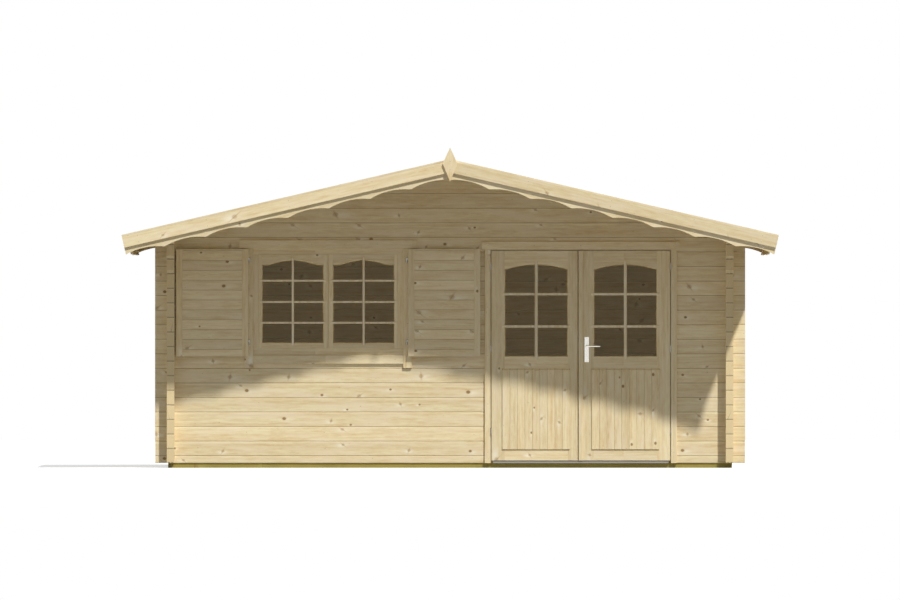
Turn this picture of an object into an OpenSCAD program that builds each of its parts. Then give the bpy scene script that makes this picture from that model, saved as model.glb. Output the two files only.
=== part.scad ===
// Garden log cabin: interlocking logs, a scalloped gable roof with a deep front
// overhang, a double door and a double window with hinged shutters.
// Front faces -Y, +X is the long side, +Z is up, the origin is on the ground.

/* [House] */
// Width over the outer faces of the two side walls
house_w = 5250; // [5200:10:6400]
// Depth over the outer faces of the front and back walls
house_d = 3900; // [3000:10:4900]
// Number of logs in a side wall
side_courses = 16; // [16:1:18]
// Slope of the roof in degrees
roof_pitch = 13; // [11:0.5:16]
// Roof boards ahead of the front wall
porch_depth = 1000; // [600:10:1300]
// Roof boards behind the back wall
back_overhang = 260; // [200:10:600]

/* [Logs] */
// Thickness of a wall log
log_t = 70; // [58:1:84]
// Height of a wall log, joint to joint
log_h = 135; // [120:1:162]
// Length of a log end beyond the crossing wall
log_end = 110; // [80:1:150]
// Chamfer along the edges of a log
log_chamfer = 4; // [2:0.5:8]
// Width of each of the two tongues on top of a log
tongue_w = 12; // [8:0.5:16]
// Height of a tongue
tongue_h = 9; // [5:0.5:14]
// How much narrower each side of a tongue gets towards its top
tongue_taper = 1; // [0.5:0.5:2]
// Distance between the two tongues
tongue_pitch = 30; // [24:1:38]
// Number of side logs at the top that step out under the porch roof
console_logs = 3; // [1:1:4]
// How much further each of them reaches out
console_step = 90; // [0:5:150]
// Chamfer under the end of those logs
console_chamfer = 32; // [10:1:45]
// Free play between timbers
fit = 0.3; // [0.1:0.05:0.5]

/* [Floor] */
// Height of the treated bearers under the walls
bearer_h = 45; // [35:1:70]
// Width of a bearer
bearer_w = 96; // [84:1:120]
// How far a bearer stays behind the wall face
bearer_inset = 11; // [0:1:15]
// Number of joists between the front and back bearers
joists = 7; // [5:1:10]
// Width of a joist
joist_w = 70; // [45:1:95]
// Thickness of the floor boards
floor_t = 19; // [16:0.5:28]
// Face width of a floor board
floor_board_w = 92; // [70:1:140]
// Space between the floor boards and the walls
floor_gap = 3; // [1:0.5:8]

/* [Roof] */
// Thickness of the roof boards
deck_t = 19; // [16:0.5:28]
// Face width of a roof board
deck_board_w = 96; // [80:1:140]
// Roof boards beyond the faces of the side walls, along the slope
eave_overhang = 347; // [260:1:450]
// Width of the ridge beam and purlins
purlin_w = 70; // [58:1:95]
// Height of a side purlin
purlin_h = 120; // [95:1:122]
// Height of the ridge beam
ridge_h = 125; // [100:1:128]
// Thickness of an eave board
eave_t = 18; // [16:1:25]
// Height of an eave board
eave_h = 169; // [120:1:175]

/* [Bargeboards] */
// Height of a plain bargeboard
barge_h = 102; // [90:1:120]
// Thickness of a plain bargeboard
barge_t = 20; // [16:1:25]
// Top of a plain bargeboard above the top of the roof boards
barge_rise = 8; // [2:1:20]
// Bargeboards beyond the faces of the eave boards
barge_beyond = 45; // [20:1:80]
// Thickness of the verge strip on a bargeboard
strip_t = 18; // [12:1:22]
// Width of the verge strip
strip_w = 60; // [45:1:90]
// Thickness of the scalloped board
scallop_t = 18; // [16:1:25]
// Tips of the scallops below the roof boards
scallop_drop = 145; // [125:1:160]
// Distance between tips
scallop_pitch = 389; // [320:1:460]
// Height of each arc between two tips
scallop_rise = 29; // [25:1:50]
// Width of the blunt end of a tip
tip_flat = 14; // [4:1:30]
// Distance of the first tip from the ridge
first_tip = 404; // [360:1:440]
// Width of the diamond at the apex
finial_w = 137; // [80:1:150]
// Height of the diamond above its widest line
finial_up = 149; // [110:1:190]
// Height of the diamond below its widest line
finial_down = 168; // [120:1:190]
// Thickness of the diamond
finial_t = 18; // [14:1:25]
// Widest line of the diamond above the ridge of the walls
finial_rise = 4; // [-20:1:20]

/* [Window] */
// Centre of the window from the left wall face
window_from_left = 1495; // [1440:1:1600]
// Half width over the two sashes
sash_half = 645; // [560:1:680]
// Bottom of the sashes above the wall bottom
sash_bottom = 1065; // [1000:1:1100]
// Height of a sash
sash_h = 869; // [780:1:900]
// Thickness of a sash
sash_t = 44; // [36:1:50]
// Width of the outer stile of a sash
sash_stile = 31; // [25:1:45]
// Width of the meeting stile of a sash
sash_meet = 43; // [30:1:55]
// Height of the bottom rail of a sash
sash_rail = 46; // [35:1:60]
// Straight sides of the glass up to the arch
glass_side_h = 730; // [640:1:760]
// Rise of the arch of the window glass
glass_arch = 42; // [20:1:50]
// Level shoulder beside the arch
glass_shoulder = 36; // [10:1:60]
// Share of the arch that curves back into the shoulders
arch_foot = 0.25; // [0.1:0.05:0.5]
// Width of the frame around the sashes
frame_w = 74; // [60:1:90]
// Height of the bottom piece of the frame
frame_sill_h = 100; // [85:1:110]
// Width of the boards that cover the frame joint
casing_w = 80; // [60:1:95]
// Thickness of the casing boards
casing_t = 20; // [16:1:20]
// Side casings below the bottom casing
casing_tail = 37; // [0:1:60]
// Top casing beyond the side casings
casing_ear = 49; // [0:1:80]
// Part of the frame left bare beside the sashes
frame_reveal = 50; // [35:1:60]
// Part of the frame left bare above the sashes
head_reveal = 54; // [40:1:60]
// Part of the frame left bare below the sashes
sill_reveal = 66; // [50:1:75]

/* [Shutters] */
// Width of a shutter
shutter_w = 670; // [600:1:675]
// Thickness of a shutter
shutter_t = 28; // [22:1:32]
// Hinge line from the centre of the window
shutter_axis = 727; // [715:1:740]
// Hinge line to the near edge of a shutter
shutter_reach = 13; // [11:1:18]
// Space between an open shutter and the casing
shutter_air = 6; // [5.5:0.5:12]
// Bottom of a shutter above the wall bottom
shutter_bottom = 989; // [960:1:1010]
// Height of a shutter
shutter_h = 994; // [900:1:1000]
// Width of a shutter stile
shutter_stile = 58; // [45:1:80]
// Face width of the shutter boards
shutter_board = 91.5; // [80:0.5:110]
// Height of the lowest shutter board
shutter_first = 65; // [40:1:90]
// Shutter boards behind the faces of the stiles
board_sink = 2; // [1:0.5:4]

/* [Door] */
// Centre of the door from the right wall face
door_from_right = 1414; // [1380:1:1500]
// Half width over the two leaves
door_half = 829; // [760:1:840]
// Bottom of the leaves above the wall bottom
door_bottom = 24; // [24:1:40]
// Height of a leaf
door_h = 1945; // [1850:1:1960]
// Thickness of a leaf
door_t = 40; // [36:1:50]
// Leaf face ahead of the wall face
door_proud = 22; // [20:1:26]
// Cover strip on the active leaf, left edge from the door centre
strip_left = 21; // [15:1:25]
// Width of the cover strip
cover_w = 42; // [30:1:50]
// Thickness of the cover strip
cover_t = 12; // [8:1:16]
// Space between the two leaves
meet_gap = 6.5; // [6.5:0.1:9]
// Space around the leaves
door_gap = 5.5; // [5.5:0.5:12]
// Space behind a closed leaf
stop_air = 5.5; // [5.5:0.5:8]
// Inner edge of the glass from the door centre
glass_in = 120; // [110:1:140]
// Outer edge of the glass from the door centre
glass_out = 706; // [640:1:715]
// Bottom of the door glass above the wall bottom
door_glass_bottom = 986; // [950:1:1020]
// Straight sides of the door glass
door_glass_side_h = 812; // [700:1:830]
// Rise of the arch of the door glass
door_glass_arch = 46; // [30:1:60]
// Boarded panel, inner edge from the door centre
panel_in = 102; // [98:1:115]
// Width of the boarded panel
panel_w = 625; // [560:1:635]
// Boarded panel, bottom above the wall bottom
panel_bottom = 129; // [110:1:160]
// Height of the boarded panel
panel_h = 726; // [650:1:740]
// Thickness of the panel boards
panel_t = 9; // [7:1:14]
// Panel boards over the frame of the leaf
panel_lap = 24; // [12:1:40]
// Number of boards in a panel
panel_boards = 9; // [7:1:11]
// Height of the drip strip above a panel
drip_h = 20; // [14:1:28]
// Drip strip ahead of the leaf
drip_t = 16; // [12:1:24]
// Drip strip beyond the panel at each end
drip_beyond = 5; // [0:1:15]
// Width of the door casing
door_casing_w = 55.5; // [45:0.5:70]
// Height of the casing over the door
door_head_h = 78.5; // [60:0.5:90]
// Head casing beyond the side casings
door_ear = 26; // [0:1:50]
// Side casing beside the edge of a leaf
door_reveal = 6.5; // [6:0.5:14]
// Head casing above the top of the leaves
door_head_reveal = 6.5; // [6:0.5:20]
// Thickness of the door frame
jamb_t = 30; // [24:1:40]
// Height of the metal threshold
threshold_h = 18; // [14:1:18]
// Upstand of the threshold behind the leaves
threshold_lip = 9; // [7:1:14]
// Slope of the threshold towards its nose
threshold_fall = 4; // [2:0.5:6]

/* [Door furniture] */
// Radius of a door hinge knuckle
knuckle_r = 4.5; // [4:0.25:4.5]
// Height of one door hinge
hinge_h = 66; // [50:1:90]
// Hinge line beside the edge of a leaf
hinge_out = 5; // [4.5:0.25:6]
// Hinge line ahead of the face of a leaf
hinge_ahead = 2; // [2:0.5:6]
// Thickness of the hinge plates in the door
plate_metal = 2; // [1.5:0.5:3]
// Radius of a hinge pin
pin_r = 2; // [1.5:0.25:2.5]
// Play around a hinge pin
pin_play = 0.3; // [0.2:0.05:0.4]
// Radius of a shutter hinge knuckle
shutter_knuckle_r = 6; // [5:0.25:7]
// Height of one shutter hinge
shutter_hinge_h = 44; // [36:1:60]
// Thickness of the plates of the shutter hinges
shutter_plate_t = 3; // [2:0.5:4]
// Width of the plate on the casing
shutter_plate_w = 14; // [14:1:30]
// Width of the handle plate
plate_w = 44; // [36:1:50]
// Height of the handle plate
plate_h = 231; // [200:1:250]
// Thickness of the handle plate
plate_t = 8; // [5:1:10]
// Bottom of the handle plate above the wall bottom
plate_bottom = 937; // [900:1:960]
// Spindle from the door centre
spindle_x = 55; // [50:1:60]
// Spindle above the wall bottom
spindle_z = 1083; // [1060:1:1100]
// Length of the lever from the spindle
lever_len = 125; // [100:1:140]
// Diameter of the lever
lever_d = 13; // [12:1:22]
// Lever ahead of the leaf, to its centre line
lever_out = 52; // [40:1:60]
// Radius of the spindle
spindle_r = 4; // [3:0.5:5]
// Space around the spindle
spindle_play = 1; // [0.5:0.5:2]

/* [Hidden] */
$fn = 64;

spruce = [0.86, 0.75, 0.54];
spruce_dark = [0.78, 0.66, 0.45];
treated = [0.62, 0.56, 0.28];
metal = [0.75, 0.76, 0.78];
pane = [0.25, 0.22, 0.18];

// house, in the frame of the front wall: y = 0 is its outer face, z = 0 the bottom of the logs
half_w = house_w / 2;
corner_x = half_w - log_t / 2;
log_x = half_w + log_end;
roof_len = porch_depth + house_d + back_overhang;
front_y = porch_depth - roof_len / 2;
wall_h = side_courses * log_h;
slope = tan(roof_pitch);
ridge_z = wall_h + half_w * slope;
fit_up = fit / cos(roof_pitch);
first_h = log_h / 2;
gable_courses = ceil((ridge_z - first_h) / log_h);
offcut = 60;
window_x = window_from_left - half_w;
door_x = half_w - door_from_right;

// window opening in the wall
window_half = sash_half + frame_w;
window_z0 = sash_bottom - frame_sill_h;
window_z1 = sash_bottom + sash_h + frame_w;
sash_front = -6;
sash_gap = 0.5;
sash_split = 1;
stop_w = 16;
pane_t = 4;
pane_at = 20;
pane_lap = 10;
arch_steps = 24;

// door opening in the wall
jamb_at = door_half + door_gap;
door_open_half = jamb_at + jamb_t;
door_top = door_bottom + door_h;
door_open_z = door_top + door_gap + jamb_t;
door_stop_w = 20;
door_back = door_t - door_proud;
door_casing_in = door_half + door_reveal;
leaf_left_edge = strip_left + meet_gap;

// courses of the front wall that carry the openings
sill_course = floor((window_z0 - first_h) / log_h);
head_course = floor((min(window_z1, door_open_z) - first_h) / log_h);

// roof, along the slope: u runs down from the ridge, v stands off the underside of the boards
deck_len = half_w / cos(roof_pitch) + eave_overhang;
barge_len = deck_len + eave_t + barge_beyond;
barge_v1 = deck_t + barge_rise;
scallop_half = (scallop_pitch - tip_flat) / 2;
scallop_r = (scallop_half * scallop_half + scallop_rise * scallop_rise) / (2 * scallop_rise);
scallops = ceil((barge_len - first_tip) / scallop_pitch);
purlin_x = [for (k = [1, 3, 5]) tip_x(k)];

// hinge lines
door_axis_x = door_half + hinge_out;
door_axis_y = -door_proud - hinge_ahead;
door_hinge_z = [295, 1063, 1821];
plate_back = door_back;
shutter_y1 = -casing_t - shutter_air;
shutter_y0 = shutter_y1 - shutter_t;
shutter_axis_y = shutter_y1 - shutter_t / 2;
shutter_hinge_z = [1120, 1881];
vee = 3;
floor_vee = 1.5;
ease = 2.5;

function roof_z(x) = ridge_z - abs(x) * slope;
function tip_x(k) = (first_tip + k * scallop_pitch) * cos(roof_pitch) - scallop_drop * sin(roof_pitch);
function course_z(k) = k < 0 ? 0 : first_h + k * log_h;
function course_h(k) = k < 0 ? first_h : log_h;

// a gable log stops at a purlin where the roof would leave only an offcut beyond it
function gable_x(k) = let (
    tip = (ridge_z - course_z(k)) / slope,
    stops = [for (x = purlin_x) if (x < tip && tip < x + purlin_w / 2 + offcut) x - purlin_w / 2 - fit]
) len(stops) > 0 ? stops[0] : log_x;

// ---------- placing ----------

module at_front() {
    translate([0, front_y, bearer_h]) children();
}

// outline in X and Z carried along Y from y0 to y1
module along_y(y0, y1) {
    translate([0, y1, 0]) rotate([90, 0, 0]) linear_extrude(y1 - y0) children();
}

// outline in Y and Z carried along X from x0 to x1
module along_x(x0, x1) {
    translate([x0, 0, 0]) rotate([90, 0, 90]) linear_extrude(x1 - x0) children();
}

module box(x, y, z) {
    translate([x[0], y[0], z[0]]) cube([x[1] - x[0], y[1] - y[0], z[1] - z[0]]);
}

// boards with their long edges eased, lying along X, along Y or standing along Z
function eased(a, b) = [
    [a[0] + ease, b[0]], [a[1] - ease, b[0]], [a[1], b[0] + ease], [a[1], b[1] - ease],
    [a[1] - ease, b[1]], [a[0] + ease, b[1]], [a[0], b[1] - ease], [a[0], b[0] + ease]
];

module eased_x(x, y, z) {
    along_x(x[0], x[1]) polygon(eased(y, z));
}

module eased_y(x, y, z) {
    along_y(y[0], y[1]) polygon(eased(x, z));
}

module eased_z(x, y, z) {
    translate([0, 0, z[0]]) linear_extrude(z[1] - z[0]) polygon(eased(x, y));
}

// outline of the vee along a board joint, cut into the lower side of a face at 0
function vee_cut(x) = [[x - vee, -0.01], [x + vee, -0.01], [x, vee]];

module both_sides() {
    children();
    mirror([1, 0, 0]) children();
}

// the right-hand slope, seen from the front
module on_slope() {
    translate([0, 0, bearer_h + ridge_z]) rotate([0, roof_pitch, 0]) children();
}

// ---------- logs ----------

function tongue(c, z) = [
    [c + tongue_w / 2, z],
    [c + tongue_w / 2 - tongue_taper, z + tongue_h],
    [c - tongue_w / 2 + tongue_taper, z + tongue_h],
    [c - tongue_w / 2, z]
];

function groove(c) = [
    [c - tongue_w / 2 - fit, 0],
    [c - tongue_w / 2 - fit, tongue_h + 2 * fit],
    [c + tongue_w / 2 + fit, tongue_h + 2 * fit],
    [c + tongue_w / 2 + fit, 0]
];

// section of a log, outer face on the left, standing on 0
function log_section(h, grooved) = let (
    a = log_t / 2 - tongue_pitch / 2,
    b = log_t / 2 + tongue_pitch / 2,
    c = log_chamfer,
    top = h - fit
) concat(
    [[c, 0]],
    grooved ? concat(groove(a), groove(b)) : [],
    [[log_t - c, 0], [log_t, c], [log_t, top - c], [log_t - c, top]],
    tongue(b, top),
    tongue(a, top),
    [[c, top], [0, top - c], [0, c]]
);

// a log along X with half its height left where it crosses the walls at laps
module log_piece(x0, x1, z, h, laps = []) {
    lap_w = log_t + 2 * fit;
    whole = h >= log_h;
    keep0 = log_h / 4 + fit / 2;
    keep1 = (whole ? 3 * log_h / 4 : log_h / 4) - fit / 2;
    translate([0, 0, z]) difference() {
        along_x(x0, x1) polygon(log_section(h, whole));
        for (x = laps) {
            if (whole) {
                box([x - lap_w / 2, x + lap_w / 2], [-1, log_t + 1], [-1, keep0]);
            }
            box([x - lap_w / 2, x + lap_w / 2], [-1, log_t + 1], [keep1, 2 * log_h]);
        }
    }
}

// courses k0 to k1 of a front or back wall between x0 and x1
module courses(k0, k1, x0, x1, laps) {
    for (k = [k0:k1]) {
        log_piece(x0, x1, course_z(k), course_h(k), laps);
    }
}

// space under the roof boards, in the wall frame
module under_roof(y0, y1) {
    w = log_x + 1;
    along_y(y0, y1) polygon([
        [-w, -10], [w, -10],
        [w, roof_z(w) - fit_up], [0, ridge_z - fit_up], [-w, roof_z(w) - fit_up]
    ]);
}

// what the ridge beam and the purlins take out of a gable wall
module purlin_cuts() {
    r = purlin_w / 2 + fit;
    box([-r, r], [-1, log_t + 1], [ridge_z - ridge_h - fit, ridge_z + 1]);
    both_sides() for (x = purlin_x) {
        box([x - r, x + r], [-1, log_t + 1], [roof_z(x) - purlin_h - fit, ridge_z]);
    }
}

// full-length logs from course k0 to the ridge, cut to the roof
module gable_logs(k0) {
    difference() {
        intersection() {
            for (k = [k0:gable_courses - 1]) {
                courses(k, k, -gable_x(k), gable_x(k), [-corner_x, corner_x]);
            }
            under_roof(-1, log_t + 1);
        }
        purlin_cuts();
    }
}

module window_opening() {
    box([window_x - window_half, window_x + window_half], [-1, log_t + 1], [window_z0, window_z1]);
}

module door_opening() {
    box([door_x - door_open_half, door_x + door_open_half], [-1, log_t + 1], [-1, door_open_z]);
}

module front_wall_below_window() {
    color(spruce) at_front() difference() {
        courses(-1, sill_course, -log_x, door_x - door_open_half, [-corner_x]);
        window_opening();
    }
}

module front_wall_left() {
    color(spruce) at_front()
        courses(sill_course + 1, head_course - 1, -log_x, window_x - window_half, [-corner_x]);
}

module front_wall_middle() {
    color(spruce) at_front()
        courses(sill_course + 1, head_course - 1, window_x + window_half, door_x - door_open_half, []);
}

module front_wall_right() {
    color(spruce) at_front() courses(-1, head_course - 1, door_x + door_open_half, log_x, [corner_x]);
}

module front_gable() {
    color(spruce) at_front() difference() {
        gable_logs(head_course);
        window_opening();
        door_opening();
    }
}

module back_wall() {
    color(spruce) at_front() translate([0, house_d, 0]) mirror([0, 1, 0]) gable_logs(-1);
}

// side logs run along Y and the top three step out under the porch roof
module side_log(k) {
    steps = max(0, k - (side_courses - 1 - console_logs));
    front = log_end + steps * console_step;
    top = k == side_courses - 1 ? log_h + log_t * slope : log_h;
    laps = [-log_t / 2, log_t / 2 - house_d];
    difference() {
        log_piece(-house_d - log_end, front, k * log_h, top, laps);
        if (steps > 0) {
            translate([front, -1, k * log_h]) rotate([0, -45, 0])
                translate([-console_chamfer, 0, -console_chamfer * sqrt(0.5)])
                    cube([3 * console_chamfer, log_t + 2, console_chamfer * sqrt(2)]);
        }
    }
}

module side_wall() {
    at_front() intersection() {
        translate([-half_w, 0, 0]) rotate([0, 0, -90]) for (k = [0:side_courses - 1]) {
            side_log(k);
        }
        under_roof(-log_end - console_logs * console_step - 1, house_d + log_end + 1);
    }
}

module left_wall() {
    color(spruce) side_wall();
}

module right_wall() {
    color(spruce) mirror([1, 0, 0]) side_wall();
}

// ---------- floor ----------

module bearers() {
    x = half_w - bearer_inset;
    y0 = front_y + bearer_inset;
    y1 = front_y + house_d - bearer_inset;
    inner_x = x - bearer_w - fit;
    span = y1 - y0 - 2 * bearer_w;
    z = [0, bearer_h - fit];
    color(treated) {
        box([-x, x], [y0, y0 + bearer_w], z);
        box([-x, x], [y1 - bearer_w, y1], z);
        both_sides() box([x - bearer_w, x], [y0 + bearer_w + fit, y1 - bearer_w - fit], z);
        for (i = [1:joists]) {
            y = y0 + bearer_w + i * span / (joists + 1);
            box([-inner_x, inner_x], [y - joist_w / 2, y + joist_w / 2], z);
        }
    }
}

// tongued boards along X with a fine vee at each joint
module floor_boards() {
    x = half_w - log_t - floor_gap;
    y0 = front_y + log_t + floor_gap;
    y1 = front_y + house_d - log_t - floor_gap;
    top = bearer_h + floor_t;
    joints = floor((y1 - y0 - floor_vee) / floor_board_w);
    color(spruce_dark) difference() {
        box([-x, x], [y0, y1], [bearer_h, top]);
        for (k = [1:joints]) {
            y = y0 + k * floor_board_w;
            along_x(-x - 1, x + 1)
                polygon([[y - floor_vee, top + 0.01], [y, top - floor_vee], [y + floor_vee, top + 0.01]]);
        }
    }
}

// ---------- roof ----------

// board on the right-hand slope between heights v0 and v1, mitred at the ridge
module slope_board(u1, v0, v1, y0, y1) {
    m = fit / 2 / cos(roof_pitch);
    on_slope() along_y(y0, y1) polygon([[m - v0 * slope, v0], [u1, v0], [u1, v1], [m - v1 * slope, v1]]);
}

module purlin(x, h) {
    r = purlin_w / 2;
    y = roof_len / 2 - fit;
    translate([0, 0, bearer_h]) along_y(-y, y) polygon(concat(
        [[x - r, roof_z(x) - h], [x + r, roof_z(x) - h], [x + r, roof_z(x + r) - fit_up]],
        x == 0 ? [[0, ridge_z - fit_up]] : [],
        [[x - r, roof_z(x - r) - fit_up]]
    ));
}

module purlins() {
    color(spruce_dark) {
        purlin(0, ridge_h);
        both_sides() for (x = purlin_x) {
            purlin(x, purlin_h);
        }
    }
}

// tongued boards from the ridge to the eave, with a vee at each joint on the underside
module roof_boards_right() {
    y1 = roof_len / 2 - fit;
    joints = floor((2 * y1 - vee) / deck_board_w);
    color(spruce_dark) difference() {
        slope_board(deck_len, 0, deck_t, -y1, y1);
        on_slope() along_x(-deck_t, deck_len + 1) for (k = [1:joints]) {
            polygon(vee_cut(k * deck_board_w - y1));
        }
    }
}

module roof_boards_left() {
    mirror([1, 0, 0]) roof_boards_right();
}

module eave_boards() {
    y = roof_len / 2 - fit;
    color(spruce) both_sides() on_slope()
        eased_y([deck_len + fit, deck_len + fit + eave_t], [-y, y], [deck_t - eave_h, deck_t]);
}

// boards are drawn at the front and mirrored for the back
module bargeboards_front() {
    y = -roof_len / 2 - scallop_t;
    color(spruce) both_sides() slope_board(barge_len, barge_v1 - barge_h, barge_v1, y - barge_t, y - fit);
}

module bargeboards_back() {
    mirror([0, 1, 0]) bargeboards_front();
}

// lower edge cut in arcs that meet in tips
module scalloped_boards_front() {
    y = -roof_len / 2;
    color(spruce_dark) both_sides() difference() {
        slope_board(barge_len, -scallop_drop, deck_t, y - scallop_t, y);
        on_slope() along_y(y - scallop_t - 1, y + 1) for (k = [0:scallops]) {
            translate([first_tip + (k - 0.5) * scallop_pitch, scallop_rise - scallop_drop - scallop_r])
                circle(scallop_r, $fn = 160);
        }
    }
}

module scalloped_boards_back() {
    mirror([0, 1, 0]) scalloped_boards_front();
}

module verge_strips() {
    y = -roof_len / 2 - scallop_t - barge_t;
    color(spruce_dark) both_sides() {
        slope_board(barge_len, barge_v1 + fit, barge_v1 + strip_t, y, y + strip_w);
        mirror([0, 1, 0]) slope_board(barge_len, barge_v1 + fit, barge_v1 + strip_t, y, y + strip_w);
    }
}

module finial() {
    y = -roof_len / 2 - scallop_t - barge_t;
    z = bearer_h + ridge_z + finial_rise;
    along_y(y - finial_t - fit, y - fit) polygon([
        [0, z - finial_down], [finial_w / 2, z], [0, z + finial_up], [-finial_w / 2, z]
    ]);
}

module finials() {
    color(spruce) {
        finial();
        mirror([0, 1, 0]) finial();
    }
}

// ---------- window ----------

// height of a low arch over its springing: a round crown between two round feet
function arch_z(x, half, rise, foot) = let (
    turn = 2 * atan(rise / half),
    r = half / sin(turn),
    crown_r = r * (1 - foot),
    foot_r = r * foot
) abs(x) < crown_r * sin(turn)
    ? rise - crown_r + sqrt(crown_r * crown_r - x * x)
    : foot_r - sqrt(foot_r * foot_r - (half - abs(x)) * (half - abs(x)));

// opening with straight sides, level shoulders and a low arch
module arched(x0, x1, z0, side, rise, shoulder, foot) {
    mid = (x0 + x1) / 2;
    half = (x1 - x0) / 2 - shoulder;
    polygon(concat(
        [[x0, z0], [x0, z0 + side]],
        [for (i = [-arch_steps:arch_steps]) let (x = half * i / arch_steps)
            if (shoulder > 0 || abs(i) < arch_steps) [mid + x, z0 + side + arch_z(x, half, rise, foot)]],
        [[x1, z0 + side], [x1, z0]]
    ));
}

module at_window() {
    at_front() translate([window_x, 0, 0]) children();
}

// L-shaped pieces: the thick part carries the sash, the stop stands behind it
module frame_side(z0, z1) {
    stop_y = sash_front + sash_t + sash_gap;
    box([sash_half + sash_gap, window_half - fit], [0, log_t], [z0, z1]);
    box([sash_half - stop_w, sash_half + sash_gap], [stop_y, log_t], [z0, z1]);
}

module window_frame() {
    x = window_half - fit;
    z0 = sash_bottom - sash_gap;
    z1 = sash_bottom + sash_h + sash_gap;
    color(spruce) at_window() {
        both_sides() frame_side(z0, z1);
        box([-x, x], [0, log_t], [window_z0 + fit, z0 - fit]);
        box([-x, x], [0, log_t], [z1 + fit, window_z1 - fit]);
    }
}

module sash() {
    z0 = sash_bottom + sash_rail;
    x0 = sash_meet;
    x1 = sash_half - sash_stile;
    y1 = sash_front + sash_t;
    pocket_z = z0 + glass_side_h + glass_arch + pane_lap;
    difference() {
        eased_z([sash_split, sash_half], [sash_front, y1], [sash_bottom, sash_bottom + sash_h]);
        along_y(sash_front - 1, y1 + 1)
            arched(x0, x1, z0, glass_side_h, glass_arch, glass_shoulder, arch_foot);
        box([x0 - pane_lap, x1 + pane_lap], [sash_front + pane_at, y1 + 1], [z0 - pane_lap, pocket_z]);
    }
}

module window_sashes() {
    color(spruce) at_window() both_sides() sash();
}

module window_glass() {
    z0 = sash_bottom + sash_rail;
    p = pane_lap - fit;
    y = sash_front + pane_at + fit;
    z1 = z0 + glass_side_h + glass_arch;
    color(pane) at_window() both_sides()
        box([sash_meet - p, sash_half - sash_stile + p], [y, y + pane_t], [z0 - p, z1 + p]);
}

// the same four boards clamp the frame to the wall outside and inside
module window_casing() {
    x0 = sash_half + frame_reveal;
    x1 = x0 + casing_w;
    z0 = sash_bottom - sill_reveal - casing_w;
    z1 = sash_bottom + sash_h + head_reveal;
    color(spruce) at_window() for (y = [[-casing_t, -fit], [log_t + fit, log_t + casing_t]]) {
        both_sides() eased_z([x0, x1], y, [z0 - casing_tail, z1]);
        eased_x([-x1 - casing_ear, x1 + casing_ear], y, [z1 + fit, z1 + casing_w]);
        eased_x([fit - x0, x0 - fit], y, [z0, z0 + casing_w]);
    }
}

// ---------- shutters ----------

// open position, right-hand shutter; the left one is its mirror image
module at_shutter() {
    at_window() translate([shutter_axis + shutter_reach, 0, 0]) children();
}

module shutter_stiles() {
    z = [shutter_bottom, shutter_bottom + shutter_h];
    color(spruce) at_shutter() {
        eased_z([0, shutter_stile], [shutter_y0, shutter_y1], z);
        eased_z([shutter_w - shutter_stile, shutter_w], [shutter_y0, shutter_y1], z);
    }
}

// level boards with a vee at each joint on both faces
module shutter_boards() {
    z0 = shutter_bottom;
    z1 = shutter_bottom + shutter_h;
    joints = floor((shutter_h - shutter_first - 2 * vee) / shutter_board);
    y0 = shutter_y0 + board_sink;
    y1 = shutter_y1 - board_sink;
    color(spruce_dark) at_shutter() difference() {
        box([shutter_stile + fit, shutter_w - shutter_stile - fit], [y0, y1], [z0, z1]);
        for (k = [0:joints]) {
            z = z0 + shutter_first + k * shutter_board;
            along_x(0, shutter_w) {
                polygon([[y0 - 0.01, z - vee], [y0 + vee, z], [y0 - 0.01, z + vee]]);
                polygon([[y1 + 0.01, z - vee], [y1 - vee, z], [y1 + 0.01, z + vee]]);
            }
        }
    }
}

// upper knuckles with a tongue on the edge of the shutter
module shutter_knuckles() {
    color(metal) at_window() for (z = shutter_hinge_z) {
        translate([shutter_axis, shutter_axis_y, z + fit]) difference() {
            union() {
                cylinder(r = shutter_knuckle_r, h = shutter_hinge_h / 2);
                translate([0, -shutter_plate_t / 2, 0])
                    cube([shutter_reach, shutter_plate_t, shutter_hinge_h / 2]);
            }
            translate([0, 0, -1]) cylinder(r = pin_r + pin_play, h = shutter_hinge_h);
        }
    }
}

// lower knuckles with pins, on plates that stand on the casing
module shutter_pins() {
    h = shutter_hinge_h / 2;
    depth = -casing_t - shutter_axis_y;
    color(metal) at_window() both_sides() for (z = shutter_hinge_z) {
        translate([shutter_axis, shutter_axis_y, z - h]) {
            cylinder(r = shutter_knuckle_r, h = h);
            cylinder(r = pin_r, h = 2 * h);
            translate([-shutter_plate_t / 2, 0, 0]) cube([shutter_plate_t, depth - fit, h]);
            translate([-shutter_plate_w / 2, depth - shutter_plate_t - fit, 0])
                cube([shutter_plate_w, shutter_plate_t, h]);
        }
    }
}

module mirror_window() {
    translate([window_x, 0, 0]) mirror([1, 0, 0]) translate([-window_x, 0, 0]) children();
}

module shutter_right() {
    shutter_stiles();
}

module shutter_left() {
    mirror_window() shutter_stiles();
}

module shutter_right_boards() {
    shutter_boards();
}

module shutter_left_boards() {
    mirror_window() shutter_boards();
}

module shutter_right_hinges() {
    shutter_knuckles();
}

module shutter_left_hinges() {
    mirror_window() shutter_knuckles();
}

// ---------- door ----------

module at_door() {
    at_front() translate([door_x, 0, 0]) children();
}

module door_frame() {
    stop_y = door_back + stop_air;
    x1 = door_open_half - fit;
    z1 = door_open_z - fit;
    head_z = door_top + door_gap;
    color(spruce) at_door() {
        both_sides() {
            box([jamb_at, x1], [0, log_t], [0, head_z - fit]);
            box([jamb_at - door_stop_w, jamb_at], [stop_y, log_t], [0, head_z - fit]);
        }
        box([-x1, x1], [0, log_t], [head_z, z1]);
        box(
            [-jamb_at + door_stop_w, jamb_at - door_stop_w],
            [stop_y, log_t],
            [head_z - door_stop_w, head_z]
        );
    }
}

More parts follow.
